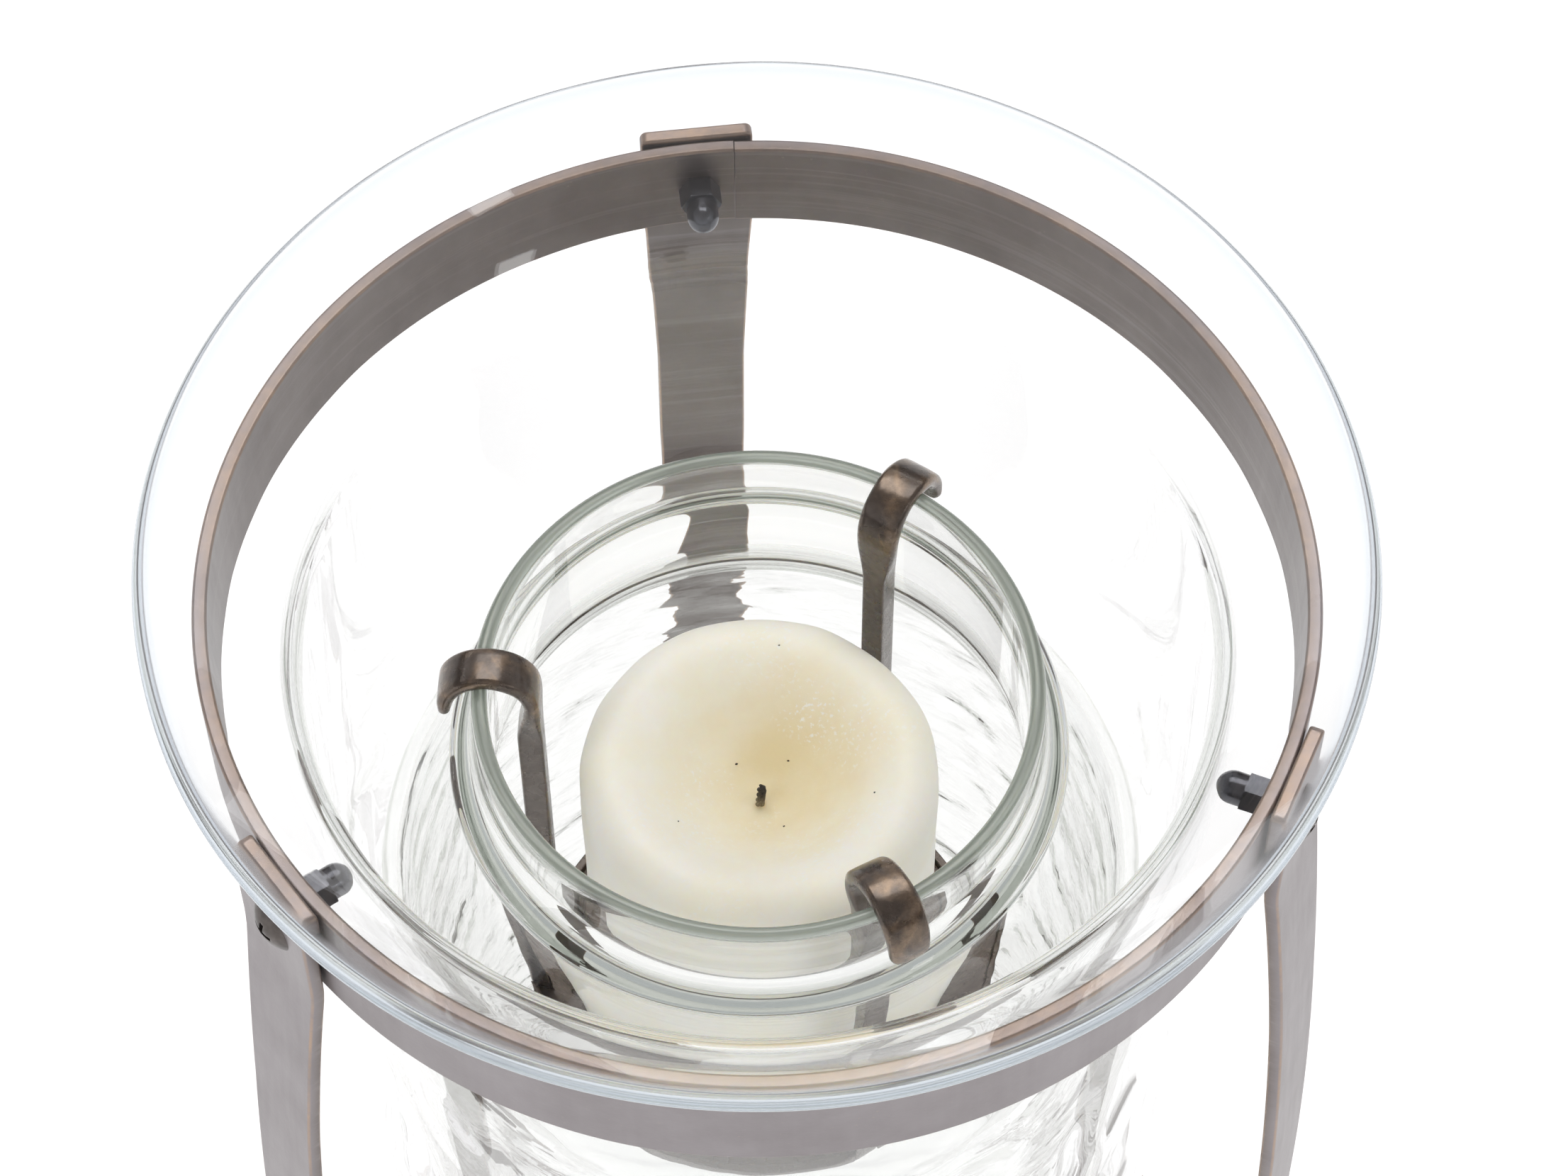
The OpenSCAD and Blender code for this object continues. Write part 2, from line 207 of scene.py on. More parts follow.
def rounded_section(width, thick, corner):
    """A rounded rectangle as (side, out, edge) points. edge is 1 on the corners and 0 on the flats."""
    per_corner = 4
    w, t = width / 2 - corner, thick / 2 - corner
    points = []
    for cx, cy, start in ((w, t, 0), (-w, t, 90), (-w, -t, 180), (w, -t, 270)):
        for i in range(per_corner + 1):
            a = math.radians(start + 90 * i / per_corner)
            edge = math.sin(math.pi * i / per_corner)
            points.append((cx + corner * math.cos(a), cy + corner * math.sin(a), edge))
    return points


def recalculate(obj):
    """Points every face outwards."""
    bm = bmesh.new()
    bm.from_mesh(obj.data)
    bmesh.ops.recalc_face_normals(bm, faces=bm.faces)
    bm.to_mesh(obj.data)
    bm.free()
    return obj


def even_shading(obj):
    """Keeps flats flat and their small rounded edges smooth."""
    modifier = obj.modifiers.new("flats", "WEIGHTED_NORMAL")
    modifier.weight = 90
    modifier.keep_sharp = True
    return obj


# ------------------------------------------------------------------ material helpers

class Shader:
    """A small helper that makes a node material with one Principled shader."""

    def __init__(self, name):
        self.material = bpy.data.materials.new(name)
        self.material.use_nodes = True
        self.tree = self.material.node_tree
        self.main = self.tree.nodes["Principled BSDF"]
        self.coords = self.tree.nodes.new("ShaderNodeTexCoord").outputs["Object"]

    def node(self, kind, **values):
        made = self.tree.nodes.new("ShaderNode" + kind)
        for key, value in values.items():
            if key in made.inputs:
                made.inputs[key].default_value = value
            else:
                setattr(made, key, value)
        return made

    def link(self, output, target):
        self.tree.links.new(output, target)

    def set(self, **values):
        for key, value in values.items():
            self.main.inputs[key.replace("_", " ")].default_value = value

    def noise(self, scale, detail=3.0, roughness=0.55, stretch=(1, 1, 1), distortion=0.0):
        mapping = self.node("Mapping")
        mapping.inputs["Scale"].default_value = stretch
        self.link(self.coords, mapping.inputs["Vector"])
        made = self.node("TexNoise", Scale=scale, Detail=detail, Roughness=roughness, Distortion=distortion)
        self.link(mapping.outputs["Vector"], made.inputs["Vector"])
        return made.outputs["Fac"]

    def ramp(self, factor, *stops):
        """A colour ramp of (position, colour) stops. A colour may be a single grey value."""
        made = self.node("ValToRGB")
        elements = made.color_ramp.elements
        while len(elements) < len(stops):
            elements.new(0.5)
        for element, (position, colour) in zip(elements, stops):
            element.position = position
            grey = isinstance(colour, (int, float))
            element.color = (colour, colour, colour, 1) if grey else (*colour, 1)
        self.link(factor, made.inputs["Fac"])
        return made.outputs["Color"]

    def attribute(self, name):
        return self.node("Attribute", attribute_name=name).outputs["Fac"]

    def mix_colour(self, factor, a, b):
        made = self.node("Mix", data_type="RGBA")
        for socket, value in ((made.inputs[0], factor), (made.inputs[6], a), (made.inputs[7], b)):
            if hasattr(value, "is_linked"):
                self.link(value, socket)
            elif socket is made.inputs[0]:
                socket.default_value = value
            else:
                socket.default_value = (*value, 1)
        return made.outputs[2]

    def maths(self, operation, a, b=0.0):
        made = self.node("Math", operation=operation)
        for socket, value in zip(made.inputs, (a, b)):
            if hasattr(value, "is_linked"):
                self.link(value, socket)
            else:
                socket.default_value = value
        return made.outputs[0]

    def bump(self, height, strength, distance):
        made = self.node("Bump", Strength=strength, Distance=distance)
        self.link(height, made.inputs["Height"])
        self.link(made.outputs["Normal"], self.main.inputs["Normal"])


def strap_bronze(name, flat, shade, worn):
    """Satin dark bronze paint on strap: faint brushing and mottling, a darker, browner inner side, and rubbed
    bronze on the edges. The inner side's colour is partly painted shade of the lantern's inside and partly a
    browner paint tone.
    """
    s = Shader(name)
    mottle = s.noise(55, detail=6, roughness=0.6)
    paint = s.ramp(mottle, (0.30, shade), (0.70, flat))
    # Painted shade: the strap's inner side, inside the lantern, is made darker as well as browner
    inner = s.attribute("inner")
    brown = s.ramp(mottle, (0.30, (0.165, 0.138, 0.130)), (0.72, (0.230, 0.200, 0.190)))
    paint = s.mix_colour(inner, paint, brown)
    brushing = s.noise(40, detail=6, roughness=0.7, stretch=(0.10, 0.10, 9.0))
    streaks = s.ramp(brushing, (0.52, 0.0), (0.74, 0.5))
    paint = s.mix_colour(s.maths("MULTIPLY", streaks, inner), paint, (0.36, 0.33, 0.32))
    rub = s.noise(300, detail=5, roughness=0.7)
    patch = s.ramp(s.noise(28, detail=4), (0.35, 0.35), (0.65, 1.0))
    patchy = s.maths("MULTIPLY", s.attribute("edge"), patch)
    edge = s.maths("MULTIPLY", patchy, s.ramp(rub, (0.3, 0.4), (0.6, 1.0)))
    colour = s.mix_colour(edge, paint, worn)
    specks = s.ramp(s.noise(900, detail=2), (0.70, 0.0), (0.76, 0.45))
    colour = s.mix_colour(specks, colour, (0.34, 0.29, 0.26))
    s.link(colour, s.main.inputs["Base Color"])
    brushed = s.noise(420, detail=4, stretch=(1, 1, 0.06))
    s.link(s.ramp(brushed, (0.25, 0.34), (0.75, 0.40)), s.main.inputs["Roughness"])
    s.set(Metallic=0.85)
    s.bump(s.noise(700, detail=5, roughness=0.65), 0.10, 0.0004)
    return s.material


def forged_bronze(name):
    """Hand-forged bar: dark brown lacquer, golden where it is rubbed, over a lightly hammered surface. The
    gold lies mostly on the hook's outer, upper face, where it is partly a painted highlight.
    """
    s = Shader(name)
    grain = s.noise(520, detail=6, roughness=0.7)
    dark = s.ramp(grain, (0.30, (0.080, 0.064, 0.054)), (0.70, (0.135, 0.110, 0.094)))
    gold = s.ramp(grain, (0.30, (0.20, 0.135, 0.085)), (0.72, (0.40, 0.28, 0.18)))
    # Gold patches, strongest on the hook's outer, upper face: partly rubbed wear, partly a painted highlight
    # there
    patches = s.ramp(s.noise(150, detail=3, roughness=0.5, distortion=0.6), (0.42, 0.0), (0.74, 0.8))
    rubbed = s.maths("MULTIPLY", patches, s.attribute("rubbed"))
    edge = s.maths("MULTIPLY", s.attribute("edge"), s.ramp(s.noise(160, detail=4), (0.45, 0.0), (0.75, 0.35)))
    colour = s.mix_colour(s.maths("MAXIMUM", rubbed, edge), dark, gold)
    s.link(colour, s.main.inputs["Base Color"])
    s.link(s.ramp(s.noise(240, detail=4), (0.3, 0.20), (0.7, 0.36)), s.main.inputs["Roughness"])
    s.set(Metallic=0.80, Coat_Weight=0.35, Coat_Roughness=0.14)
    s.bump(s.noise(210, detail=3, roughness=0.5), 0.22, 0.0006)
    return s.material


def black_steel(name, dark, light, rough):
    """Blackened steel fasteners with faint wear."""
    s = Shader(name)
    wear = s.noise(260, detail=2, roughness=0.5)
    s.link(s.ramp(wear, (0.42, dark), (0.78, light)), s.main.inputs["Base Color"])
    s.link(s.ramp(s.noise(400, detail=3), (0.3, rough), (0.7, rough + 0.10)), s.main.inputs["Roughness"])
    s.set(Metallic=0.80)
    s.bump(s.noise(320, detail=2), 0.02, 0.0002)
    return s.material


def blown_glass(name, waves, tint, lip_painted_tint, lip_painted_cloud, absorbed, density):
    """Blown glass: clear, finely wavy, and tinted where light runs far along its wall. Lamps shine through
    it, and light that has bounced many times inside the wall leaves it, so that the rims glow and don't go
    dark. The thick fire-polished lip is painted as a tinted, cloudy band: painted shade that stands in for
    the light that runs along inside the rim and is tinted and dimmed there. waves holds the scale, stretch
    and strength of the fine waviness."""
    s = Shader(name)
    s.set(IOR=1.47)
    lip = s.attribute("lip")
    # Painted on the lip: a tinted, cloudy band that stands in for the light that runs along inside the thick
    # rim and is tinted and dimmed there
    s.link(s.mix_colour(lip, tint, lip_painted_tint), s.main.inputs["Base Color"])
    s.link(s.maths("MULTIPLY", lip, 0.22), s.main.inputs["Roughness"])
    s.link(s.maths("SUBTRACT", 1.0, s.maths("MULTIPLY", lip, lip_painted_cloud)), s.main.inputs["Transmission Weight"])
    scale, stretch, strength = waves
    wavelets = s.noise(scale, detail=2, roughness=0.4, stretch=stretch)
    s.bump(s.maths("MULTIPLY", wavelets, s.attribute("rippled")), strength, 0.0006)
    through = s.node("BsdfTransparent")
    through.inputs["Color"].default_value = (0.97, 0.97, 0.965, 1)
    path = s.node("LightPath")
    either = s.maths("MAXIMUM", path.outputs["Is Shadow Ray"], path.outputs["Is Diffuse Ray"])
    trapped = s.maths("GREATER_THAN", path.outputs["Ray Depth"], TRAPPED_BOUNCES)
    choose = s.node("MixShader")
    s.link(s.maths("MAXIMUM", either, trapped), choose.inputs[0])
    s.link(s.main.outputs[0], choose.inputs[1])
    s.link(through.outputs[0], choose.inputs[2])
    output = s.tree.nodes["Material Output"]
    s.link(choose.outputs[0], output.inputs["Surface"])
    inside = s.node("VolumeAbsorption", Density=density)
    inside.inputs["Color"].default_value = (*absorbed, 1)
    s.link(inside.outputs[0], output.inputs["Volume"])
    return s.material


def wax(name):
    """Ivory wax: translucent, frosted in patches, darker and yellower in the hollow, with a few specks of
    soot. The darker, yellower wax at the bottom of the hollow is painted shade of the recess together with a
    warmer wax tone.
    """
    s = Shader(name)
    cloud = s.noise(70, detail=5, roughness=0.6)
    pale = s.ramp(cloud, (0.35, (0.97, 0.915, 0.78)), (0.65, (0.985, 0.955, 0.86)))
    # Painted shade: the bottom of the hollow is made darker as well as yellower
    deep_tone_and_shade = s.ramp(cloud, (0.35, (0.83, 0.72, 0.45)), (0.65, (0.88, 0.79, 0.56)))
    colour = s.mix_colour(s.attribute("hollow"), pale, deep_tone_and_shade)
    crystals = s.ramp(s.noise(1100, detail=2), (0.56, 0.0), (0.68, 0.8))
    frost = s.maths("MULTIPLY", crystals, s.ramp(s.noise(45, detail=3), (0.45, 0.0), (0.62, 1.0)))
    colour = s.mix_colour(frost, colour, (0.97, 0.96, 0.92))
    s.link(colour, s.main.inputs["Base Color"])
    s.link(s.ramp(s.noise(120, detail=4), (0.3, 0.42), (0.7, 0.60)), s.main.inputs["Roughness"])
    s.set(Subsurface_Weight=0.6, Subsurface_Scale=0.006, Subsurface_Radius=(1.0, 0.80, 0.50), IOR=1.44)
    s.bump(s.noise(260, detail=5, roughness=0.6), 0.16, 0.0006)
    return s.material


def burned_cotton(name):
    """Charred cotton wick: nearly black at the tip, brown-grey and waxed below."""
    s = Shader(name)
    fibres = s.noise(2600, detail=3, stretch=(1, 1, 0.25))
    char = s.ramp(fibres, (0.3, (0.018, 0.016, 0.014)), (0.7, (0.075, 0.065, 0.050)))
    cotton = s.ramp(fibres, (0.3, (0.16, 0.13, 0.085)), (0.7, (0.30, 0.26, 0.18)))
    s.link(s.mix_colour(s.attribute("burned"), cotton, char), s.main.inputs["Base Color"])
    s.set(Roughness=0.85)
    s.bump(fibres, 0.5, 0.0003)
    return s.material


def plain_aluminium(name):
    """Thin stamped aluminium, faintly grained."""
    s = Shader(name)
    grain = s.noise(500, detail=3)
    s.link(s.ramp(grain, (0.3, 0.62), (0.7, 0.74)), s.main.inputs["Base Color"])
    s.link(s.ramp(grain, (0.3, 0.34), (0.7, 0.46)), s.main.inputs["Roughness"])
    s.set(Metallic=1.0)
    return s.material


TRAPPED_BOUNCES = 7

STRAP = strap_bronze("strap_bronze", (0.285, 0.262, 0.272), (0.230, 0.208, 0.214), (0.44, 0.31, 0.22))
FORGED = forged_bronze("forged_bronze")
SCREWS = black_steel("dark_screws", (0.070, 0.060, 0.056), (0.15, 0.13, 0.12), 0.30)
NUTS = black_steel("dark_nuts", (0.090, 0.092, 0.102), (0.13, 0.13, 0.145), 0.16)
# The lip values paint each rim's band for the light that runs along inside the rims: pale blue on the
# hurricane, dark grey-green and cloudier on the jar
CLEAR = blown_glass("clear_glass", waves=(60, (1, 1, 0.3), 0.05), tint=(0.996, 0.998, 1.0),
                    lip_painted_tint=(0.78, 0.84, 0.90), lip_painted_cloud=0.10, absorbed=(0.64, 0.71, 0.78), density=5.0)
JAR = blown_glass("jar_glass", waves=(230, (0.35, 0.35, 1), 0.32), tint=(0.988, 0.989, 0.986),
                  lip_painted_tint=(0.40, 0.44, 0.39), lip_painted_cloud=0.42, absorbed=(0.60, 0.63, 0.59), density=26.0)
WAX = wax("ivory_wax")
WICK = burned_cotton("charred_wick")
TAB = plain_aluminium("tab_metal")


def dress(obj, material, slot, body, *replaced):
    """Gives a new piece its material, its body, and the CAD nodes that it stands for. slot is not used."""
    obj.data.materials.append(material)
    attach(obj, body)
    if replaced:
        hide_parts(*replaced)
    return obj


def dress_cad(node, material, bevel):
    """A CAD node that is shown: its seams are welded, its edges broken, and it gets its material."""
    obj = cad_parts[node]
    obj.data.materials.clear()
    obj.data.materials.append(material)
    weld = obj.modifiers.new("weld", "WELD")
    weld.merge_threshold = 0.00001
    if bevel:
        soft = obj.modifiers.new("soft_edges", "BEVEL")
        soft.width = bevel * MM
        soft.segments = 2
        soft.limit_method = "ANGLE"
        soft.angle_limit = math.radians(35)
        soft.harden_normals = False
    even_shading(obj)


# ------------------------------------------------------------------ stand

# The hoops' butt seam: where it is, how wide, and how far one end stands above the other
SEAM_ANGLE = 86.0
SEAM_GAP = 0.02
SEAM_STEP = 0.3
# Share of the way round over which the high end comes down to the rest of the hoop
SEAM_EASE = 0.06
# How worn the narrow faces of the hoops are, beside 1 on their corners
RUBBED_RIM = 0.45
STRAP_ROUNDING = 0.7
# Depth of the strap's inner side that carries the darker, browner paint: partly painted shade of the
# lantern's inside, partly a browner tone
SHADED_INNER_SKIN = 0.75


def hoop_piece(name, low, high, seam):
    """A strap hoop, bent from one bar: its two ends meet at a butt seam, one of them a little high."""
    height = high - low
    middle = (low + high) / 2
    section = rounded_section(height, STRAP_T, STRAP_ROUNDING)
    steps, close = 288, 0.0002
    gap = math.degrees(SEAM_GAP / HOOP_R)
    points, edges, inner = [], [], []
    # a row close to each end keeps the shading of the cut faces out of the strap's flats
    shares = [0.0, close] + [i / steps for i in range(1, steps)] + [1.0 - close, 1.0]
    for share in shares:
        angle = seam + gap + (360 - 2 * gap) * share
        lift = SEAM_STEP * (1 - smooth(share, 0.0, SEAM_EASE))
        for side, out, edge in section:
            points.append(turned(HOOP_R - STRAP_T / 2 + out, 0, middle + side + lift, angle))
            edges.append(max(edge, RUBBED_RIM if abs(side) > height / 2 - 0.1 else 0.0))
            # inner marks the side that is painted darker and browner, partly as painted shade
            inner.append(1.0 if out < -STRAP_T / 2 + SHADED_INNER_SKIN else 0.0)
    around = len(section)
    obj = make_object(name, points, capped_tube(len(shares), around), {"edge": edges, "inner": inner})
    return even_shading(recalculate(obj))


LEG_END_W = LEG_HIGH.x - LEG_LOW.x
LEG_MID_W = 21.0
LEG_TAPER = 60.0
LEG_TOP = LEG_HIGH.z
CREASE_GAP = 2.0
CREASE_TOP = HOOP_LOW.z - CREASE_GAP
CREASE_LOW = BASE_HIGH.z + CREASE_GAP
LEG_BOW = LEG_HIGH.y - HOOP_R - STRAP_T
BOW_HALF = (CREASE_TOP - CREASE_LOW) / 2
BOW_R = (BOW_HALF ** 2 + LEG_BOW ** 2) / (2 * LEG_BOW)


def leg_out(z):
    """How far the leg's bow stands out at a height. The creases are eased over a few millimetres."""
    def bow(at):
        off = abs(at - (CREASE_TOP + CREASE_LOW) / 2)
        if off >= BOW_HALF:
            return 0.0
        return math.sqrt(BOW_R ** 2 - off ** 2) - (BOW_R - LEG_BOW)
    ease = 3.0
    return sum(bow(z + ease * k) for k in (-1, 0, 1)) / 3


def leg_width(z):
    """The leg is wide at the hoops, and narrows with a soft shoulder along its bow."""
    inside = min(z - CREASE_LOW, CREASE_TOP - z)
    return mix(LEG_END_W, LEG_MID_W, clamp(inside / LEG_TAPER) ** 0.8 if inside > 0 else 0.0)


def leg_piece(name, angle):
    """A leg: a strap that is straight at the hoops and bowed between them, with rounded corners."""
    corner, bevel, rows = 1.8, 0.65, 120
    heights = [LEG_TOP * i / rows for i in range(rows + 1)]
    near_end = [bevel * (1 - math.cos(math.radians(a))) for a in (0, 22, 45, 67)]
    near_end += [bevel + (corner - bevel) * k / 3 for k in range(4)]
    heights = near_end + [h for h in heights if corner < h < LEG_TOP - corner]
    heights += [LEG_TOP - d for d in reversed(near_end)]
    points, edges, inner = [], [], []
    for z in heights:
        end = min(z, LEG_TOP - z)
        cut_w = corner - math.sqrt(max(corner ** 2 - (corner - end) ** 2, 0)) if end < corner else 0.0
        cut_t = bevel - math.sqrt(max(bevel ** 2 - (bevel - end) ** 2, 0)) if end < bevel else 0.0
        rounding = min(bevel, STRAP_T / 2 - cut_t - 0.02)
        section = rounded_section(leg_width(z) - 2 * cut_w, STRAP_T - 2 * cut_t, rounding)
        lean = math.atan(leg_out(z + 0.5) - leg_out(z - 0.5))
        for side, out, edge in section:
            r = HOOP_R + STRAP_T / 2 + leg_out(z) + out * math.cos(lean)
            points.append(turned(r, side, z - out * math.sin(lean), angle))
            edges.append(max(edge, 1.0 if end < bevel else 0.0))
            # inner marks the side that is painted darker and browner, partly as painted shade
            inner.append(1.0 if out < -STRAP_T / 2 + SHADED_INNER_SKIN else 0.0)
    around = len(section)
    obj = make_object(name, points, capped_tube(len(heights), around), {"edge": edges, "inner": inner})
    return even_shading(recalculate(obj))


def build_stand():
    top = hoop_piece("hoop_top_strap", HOOP_LOW.z, HOOP_HIGH.z, SEAM_ANGLE)
    base = hoop_piece("hoop_base_strap", BASE_LOW.z, BASE_HIGH.z, SEAM_ANGLE)
    dress(top, STRAP, "strap_bronze", "stand", "top_hoop")
    dress(base, STRAP, "strap_bronze", "stand", "bottom_hoop")
    for node, angle in zip(("leg_back", "leg_left", "leg_right"), LEG_ANGLES):
        dress(leg_piece(node + "_strap", angle), STRAP, "strap_bronze", "stand", node)
    for node in ("top_screws", "bottom_screws"):
        dress_cad(node, SCREWS, 0.25)
    for node in ("top_acorn_nuts", "bottom_acorn_nuts"):
        dress_cad(node, NUTS, 0.2)


# ------------------------------------------------------------------ glasses

def ripple(x, y, z, seed, across, along):
    """Waviness of blown glass, from about -1 to 1: soft dimples, across wide and along high, that wander."""
    wander = noise.noise(Vector((x / 40, y / 40, z / 55 + seed))) * 1.1
    ridge = noise.noise(Vector((x / across + wander, y / across - wander, z / along + seed * 3)))
    cross = noise.noise(Vector((x / across - seed, y / across, z / (along * 0.4) + seed)))
    return smooth(ridge + 0.25 * cross, -0.10, 0.50) * 1.5 - 0.6 + cross * 0.18


def shell_profile(outer, plain, wall, base, heel):
    """Outer path, round lip and inner path of a blown glass, and the number of rows on the outer side.
    The inner path follows the plain one, which has no bead."""
    inside = []
    for (r, z), (nr, nz) in zip(plain, normals_of(plain)):
        thick = mix(base, wall, clamp((z - plain[0][1]) / heel))
        inside.append((max(r + thick * nr, 0.0), z + thick * nz))
    inside[0] = (0.0, inside[0][1])
    tip, inner_tip = outer[-1], inside[-1]
    centre = ((tip[0] + inner_tip[0]) / 2, (tip[1] + inner_tip[1]) / 2)
    start = math.degrees(math.atan2(tip[1] - centre[1], tip[0] - centre[0]))
    lip = arc(centre, math.dist(tip, centre), start, start + 180, 12)[1:-1]
    return outer + lip + inside[::-1], len(outer)


# The middle of a glass's bottom, and the first millimetres above its foot, stay smooth
CALM_R = (20, 60)
CALM_FOOT = 12
# How far the walls are out of round, all of it inwards
UNEVEN = 0.25


def glass_piece(name, outer, plain, wall, base, heel, depth, fade, seed, across, along, around):
    """A blown glass whose walls are rippled below a height, more on the outside than on the inside.
    fade holds the two heights between which the ripples die out."""
    profile, outside_rows = shell_profile(outer, plain, wall, base, heel)
    low_z, high_z = fade
    foot_z = outer[0][1]

    def shape(r, z, angle, row):
        x, y = r * math.cos(angle), r * math.sin(angle)
        off_foot, off_middle = smooth(z, foot_z, foot_z + CALM_FOOT), smooth(r, *CALM_R)
        amount = (1 - smooth(z, low_z, high_z)) * off_middle * off_foot
        outside = row + 1 < outside_rows
        if amount > 0:
            spread = 1.0 if outside else 1.4
            wave = ripple(x, y, z, seed if outside else seed + 7, across * spread, along * spread)
            r += (depth * 0.5 * wave - depth * 0.5) * amount if outside else depth * 0.3 * wave * amount
        uneven = noise.noise(Vector((x / 45, y / 45, z / 70 + seed))) * UNEVEN * off_foot
        return r + (uneven - UNEVEN) * smooth(r, *CALM_R), z

    high = outer[-1][1] + wall / 2

    def lip(p):
        return smooth(p[2], high - wall * 0.6, high - wall * 0.2)

    def rippled(p):
        return 1 - smooth(p[2], low_z, high_z)

    return recalculate(lathe(name, profile, around, shape, {"lip": lip, "rippled": rippled}))


WALL = 3.5
BOTTOM = 6.0
# Gap between the hurricane glass and the hoop that it rests on
REST_GAP = 0.3
FLARE_LEN = 38.0
# How far the flare's curve reaches down and in from where it rests on the hoop
SEAT_PULL = (9.5, 8.9)


def hurricane_path():
    """Outer side of the hurricane glass: flat foot, heel, tall body, flare over the hoop, and lip."""
    foot_r, neck_r, wall, heel = 96.0, 99.5, WALL, 16.0
    foot_z = GLASS_LOW.z
    flare_z = RIM_Z - FLARE_LEN
    seat = (HOOP_IN_R - REST_GAP, HOOP_HIGH.z + REST_GAP)
    pulled = (seat[0] - SEAT_PULL[0], seat[1] - SEAT_PULL[1])
    lip = (RIM_R - wall * 0.15, RIM_Z - wall * 0.85)
    path = [(0.0, foot_z), (foot_r * 0.5, foot_z), (foot_r - heel, foot_z)]
    path += arc((foot_r - heel, foot_z + heel), heel, -80, -5, 10)
    path += bezier((foot_r, foot_z + heel), (foot_r + 1.5, foot_z + 90),
                   (neck_r, flare_z - 90), (neck_r, flare_z), 60)
    path += bezier((neck_r, flare_z), (neck_r, flare_z + 11), pulled, seat, 24)
    path += bezier(seat, mix_point(seat, lip, 0.33), mix_point(seat, lip, 0.66), lip, 8)
    path = resample(path + [lip], 3.2)
    return path, path, wall, BOTTOM, heel


BEAD_T = 2.0
# How far the fillets beside the bead reach in and away from it
BEAD_PULL = (3.1, 1.8)
# Heights of the bead, the waist and the shoulder below the jar's rim
BEAD_DROP = 24.0
WAIST_DROP = 40.0
SHOULDER_DROP = 74.0


def jar_path():
    """Outer side of the jar, with the narrow bead round its neck, and the plain path without the bead."""
    rim_r, bead_r, waist_r, shoulder_r, foot_r, wall, heel = 61.8, 67.8, 62.4, 86.5, 80.0, WALL, 12.0
    foot_z, rim_z = JAR_LOW.z, JAR_HIGH.z
    bead_z, waist_z, shoulder_z = rim_z - BEAD_DROP, rim_z - WAIST_DROP, rim_z - SHOULDER_DROP
    top = (rim_r, rim_z - wall / 2)
    path = [(0.0, foot_z), (foot_r * 0.5, foot_z), (foot_r - heel, foot_z)]
    path += arc((foot_r - heel, foot_z + heel), heel, -80, -5, 10)
    path += bezier((foot_r, foot_z + heel), (foot_r + 0.5, foot_z + 70),
                   (shoulder_r, shoulder_z - 70), (shoulder_r, shoulder_z), 60)
    path += bezier((shoulder_r, shoulder_z), (shoulder_r, shoulder_z + 19),
                   (waist_r, waist_z - 17), (waist_r, waist_z), 30)
    body = resample(path + [(waist_r, waist_z)], 2.5)
    bead = arc((bead_r - BEAD_T, bead_z), BEAD_T, -60, 60, 14)
    low, high = bead[0], bead[-1]
    under = (low[0] - BEAD_PULL[0], low[1] - BEAD_PULL[1])
    over = (high[0] - BEAD_PULL[0], high[1] + BEAD_PULL[1])
    beaded = bezier((waist_r, waist_z), (waist_r, waist_z + 9), under, low, 12)[1:]
    beaded += bead
    beaded += bezier(high, over, (rim_r + 0.7, bead_z + 7), (rim_r + 0.5, bead_z + 12), 8)[1:]
    neck = resample([(rim_r + 0.5, bead_z + 12), top], 2.5)
    plain = resample([(waist_r, waist_z), top], 2.5)
    return body + beaded + neck, body + plain[1:], wall, BOTTOM, heel


def build_glasses():
    glass = glass_piece("hurricane_glass_rippled", *hurricane_path(), depth=0.75,
                        fade=(RIM_Z - 138, RIM_Z - 92), seed=3.0, across=19.0, along=56.0, around=300)
    dress(glass, CLEAR, "clear_glass", "hurricane", "hurricane_glass")
    jar = glass_piece("candle_jar_rippled", *jar_path(), depth=0.6,
                      fade=(JAR_HIGH.z - 84, JAR_HIGH.z - 56), seed=11.0, across=17.0, along=6.5, around=270)
    dress(jar, JAR, "jar_glass", "jar", "candle_jar")


# ------------------------------------------------------------------ cradle

BAR_T = 5.6
BAR_IN_R = 47.0
HOOK_W = 9.6
HOOK_T = 3.4
HOOK_OUT_R = 69.0
HOOK_DROP = 15.5
NECK_LEN = 16.0
FOOT_T = 3.0
FOOT_W = 7.0
FOOT_IN_R = 36.0
# Lengths along the hanger between which its flat foot turns into the square bar
FOOT_ENDS = (8, 14)
BEND_R = 2.5


def hanger_path():
    """Centre line of a hanger as (radius, height): foot, bend, bar, neck, arch and tip."""
    top = HANGER_HIGH.z
    arch_r = (HOOK_OUT_R - BAR_IN_R) / 2
    centre = (BAR_IN_R + arch_r, top - arch_r)
    line_r = arch_r - HOOK_T / 2
    foot_z = HANGER_LOW.z + FOOT_T / 2
    bar_r = BAR_IN_R + BAR_T / 2
    path = [(FOOT_IN_R, foot_z), (bar_r - 4, foot_z)]
    path += arc((bar_r - BEND_R, foot_z + BEND_R), BEND_R, -75, -5, 6)
    path += [(bar_r, foot_z + 6), (bar_r, centre[1] - NECK_LEN)]
    path += bezier((bar_r, centre[1] - NECK_LEN), (bar_r, centre[1] - NECK_LEN * 0.6),
                   (centre[0] - line_r, centre[1] - NECK_LEN * 0.4), (centre[0] - line_r, centre[1]), 8)
    path += arc(centre, line_r, 180, 8, 24)
    end = path[-1]
    tip_r, tip_z = HOOK_OUT_R - HOOK_T / 2 + 0.6, top - HOOK_DROP
    path += bezier(end, (end[0] + 0.3, end[1] - 2), (tip_r - 0.5, tip_z + 3), (tip_r, tip_z), 8)
    path.append((tip_r, tip_z))
    return resample(path, 1.1), centre


